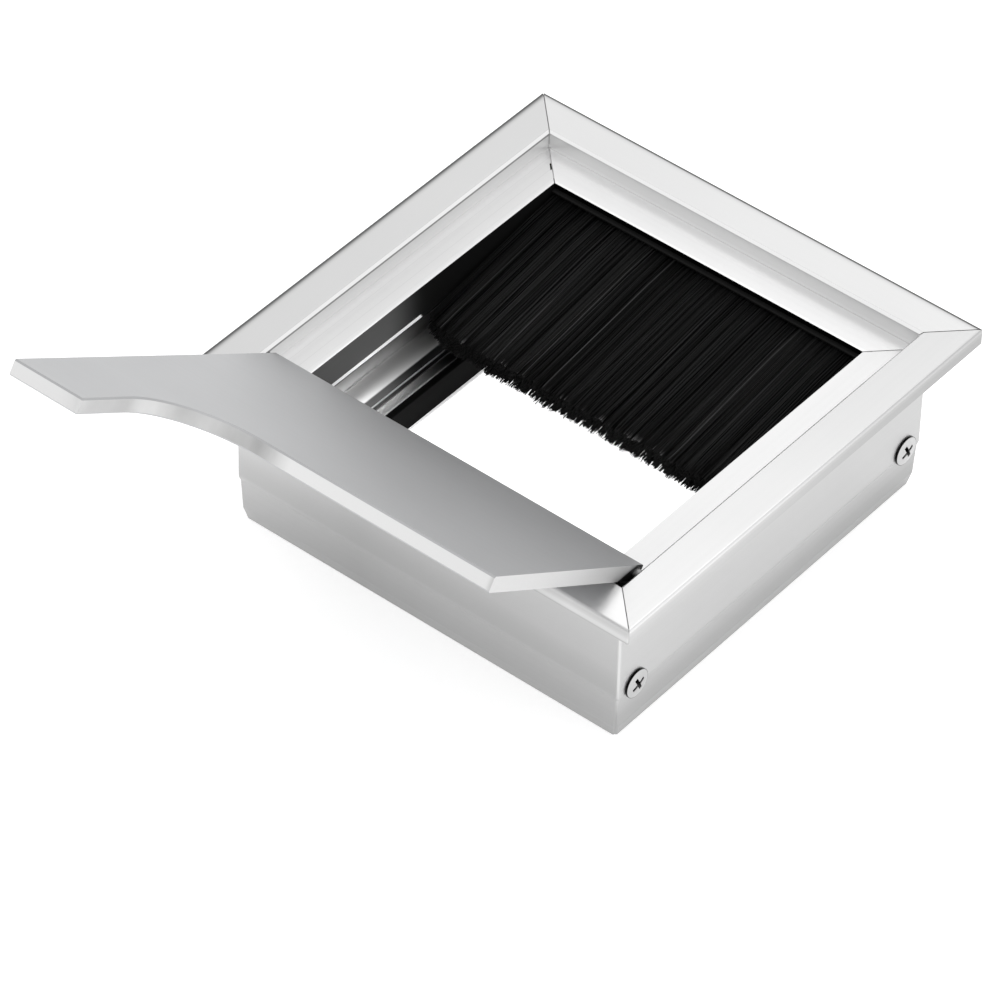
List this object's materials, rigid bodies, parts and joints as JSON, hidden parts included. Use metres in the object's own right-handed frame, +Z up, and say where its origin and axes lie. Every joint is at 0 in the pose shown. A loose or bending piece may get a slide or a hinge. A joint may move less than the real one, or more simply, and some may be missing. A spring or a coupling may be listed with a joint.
{
  "type": "brush cable grommet",
  "caption": "Square aluminium desk grommet: a mitred flanged frame with a recessed ledge, a hinged flip lid with a rounded cable notch, and a bristle strip across the opening.",
  "frame": {"origin": "middle of the frame's square opening, on the flange's top face", "axes": "+Z up out of the worktop, -Y towards the hinged side where the lid stands open, +X to the right seen from the hinged side"},
  "size_m": [0.08, 0.1213, 0.0625],
  "materials": {
    "frame": "pale satin anodised extrusion",
    "lid": "satin anodised, brushed plate",
    "pins": "plain drawn steel",
    "screws": "bright plated steel",
    "carrier": "black moulded bar",
    "bristles": "black nylon filament"
  },
  "bodies": {
    "frame": {"frame_front": "frame", "frame_right": "frame", "frame_back": "frame", "frame_left": "frame", "corner_screw_front_right": "screws", "corner_screw_back_right": "screws", "corner_screw_front_left": "screws", "corner_screw_back_left": "screws", "brush_carrier": "carrier", "brush_bristles": "bristles"},
    "lid": {"lid": "lid", "hinge_pin_left": "pins", "hinge_pin_right": "pins"}
  },
  "joints": [
    {"name": "lid_hinge", "type": "hinge", "parent": "frame", "child": "lid", "pos_m": [0, -0.02948, -0.0012], "axis": [1, 0, 0], "range_deg": [-146.4, 0]}
  ]
}
